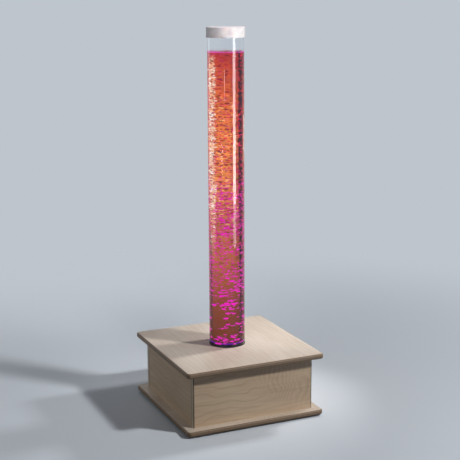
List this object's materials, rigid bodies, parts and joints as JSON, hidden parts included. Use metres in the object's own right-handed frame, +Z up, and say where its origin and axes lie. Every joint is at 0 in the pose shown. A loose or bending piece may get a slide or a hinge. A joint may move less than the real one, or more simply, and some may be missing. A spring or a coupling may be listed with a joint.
{
  "type": "bubble tube floor lamp",
  "caption": "Clear water-filled tube with a white push-on cap, lit from below with rising bubbles, on a square plywood plinth with a rear service door and controls.",
  "frame": {"origin": "on the floor, at the middle of the plinth's footprint, under the tube's axis", "axes": "+Z up along the tube, -Y towards the front of the plinth, -X towards its left side seen from the front"},
  "size_m": [0.405, 0.405, 1.065],
  "materials": {
    "birch_board": "satin",
    "birch_panel": "satin",
    "pine": "matte",
    "beech": "satin",
    "zinc_steel": "satin",
    "brass": "satin",
    "nickel": "gloss",
    "black_rubber": "matte",
    "black_plastic": "satin",
    "grey_plastic": "satin",
    "white_plastic": "satin",
    "plate_aluminium": "satin",
    "cast_aluminium": "satin",
    "red_plastic": "gloss",
    "violet_plastic": "gloss",
    "clear_acrylic": "gloss",
    "water": "gloss",
    "air_stone": "matte",
    "clear_hose": "gloss",
    "blue_plastic": "gloss",
    "circuit_board": "satin",
    "led": "gloss",
    "laminated_iron": "matte",
    "copper_winding": "gloss"
  },
  "bodies": {
    "root": {"bottom_board": "birch_board", "top_board": "birch_board", "front_panel": "birch_panel", "rear_panel": "birch_panel", "left_panel": "birch_panel", "right_panel": "birch_panel", "corner_posts": "pine", "plinth_screws": "zinc_steel", "top_dowels": "beech", "feet": "black_rubber", "hinge_frame_leaves": "brass", "hinge_pins": "brass", "rear_panel_screws": "zinc_steel", "catch_magnet": "white_plastic", "control_plate": "plate_aluminium", "power_inlet": "black_plastic", "inlet_pins": "zinc_steel", "switch_body": "black_plastic", "button_body": "nickel", "tube": "clear_acrylic", "water": "water", "base_flange": "clear_acrylic", "flange_gasket": "black_rubber", "flange_screws": "zinc_steel", "threaded_inserts": "brass", "tube_seal": "black_rubber", "air_fitting": "brass", "fitting_nuts": "brass", "fitting_seals": "black_rubber", "air_stone": "air_stone", "air_hoses": "clear_hose", "check_valve": "blue_plastic", "drain_elbow": "nickel", "valve_body": "brass", "lamp_housing": "cast_aluminium", "led_board": "circuit_board", "leds": "led", "lamp_screws": "zinc_steel", "pump_base": "grey_plastic", "pump_cover": "grey_plastic", "pump_feet": "black_rubber", "pump_core": "laminated_iron", "pump_coil": "copper_winding", "pump_bellows": "black_rubber", "pump_chamber": "white_plastic", "power_supply": "black_plastic", "lamp_controller": "grey_plastic", "wiring": "black_plastic"},
    "cap": {"cap": "white_plastic"},
    "door": {"service_door": "birch_panel", "hinge_door_leaves": "brass", "door_screws": "zinc_steel", "door_knob": "beech", "catch_plate": "zinc_steel"},
    "rocker": {"switch_rocker": "red_plastic"},
    "button": {"colour_button": "violet_plastic"},
    "drain_handle": {"valve_ball": "nickel", "valve_stem": "nickel", "valve_lever": "red_plastic"},
    "pump_arm": {"pump_lever": "zinc_steel"}
  },
  "joints": [
    {"name": "cap_lift", "type": "slide", "parent": "root", "child": "cap", "axis": [0, 0, 1], "range_m": [0, 0.06]},
    {"name": "door_hinge", "type": "hinge", "parent": "root", "child": "door", "pos_m": [-0.12425, 0.1807, 0.093], "axis": [0, 0, 1], "range_deg": [0, 105]},
    {"name": "rocker_tilt", "type": "hinge", "parent": "root", "child": "rocker", "pos_m": [0.097, 0.1795, 0.095], "axis": [-1, 0, 0], "range_deg": [0, 14]},
    {"name": "button_press", "type": "slide", "parent": "root", "child": "button", "axis": [0, -1, 0], "range_m": [0, 0.002], "stiffness_N_per_m": 300},
    {"name": "drain_turn", "type": "hinge", "parent": "root", "child": "drain_handle", "pos_m": [0, 0.098, 0.135], "axis": [0, 0, 1], "range_deg": [0, 90]},
    {"name": "pump_swing", "type": "hinge", "parent": "root", "child": "pump_arm", "pos_m": [-0.072, -0.095, 0.05], "axis": [0, 0, 1], "range_deg": [-1.8, 1.8], "stiffness_Nm_per_rad": 1, "deforming": ["pump_bellows"]}
  ]
}
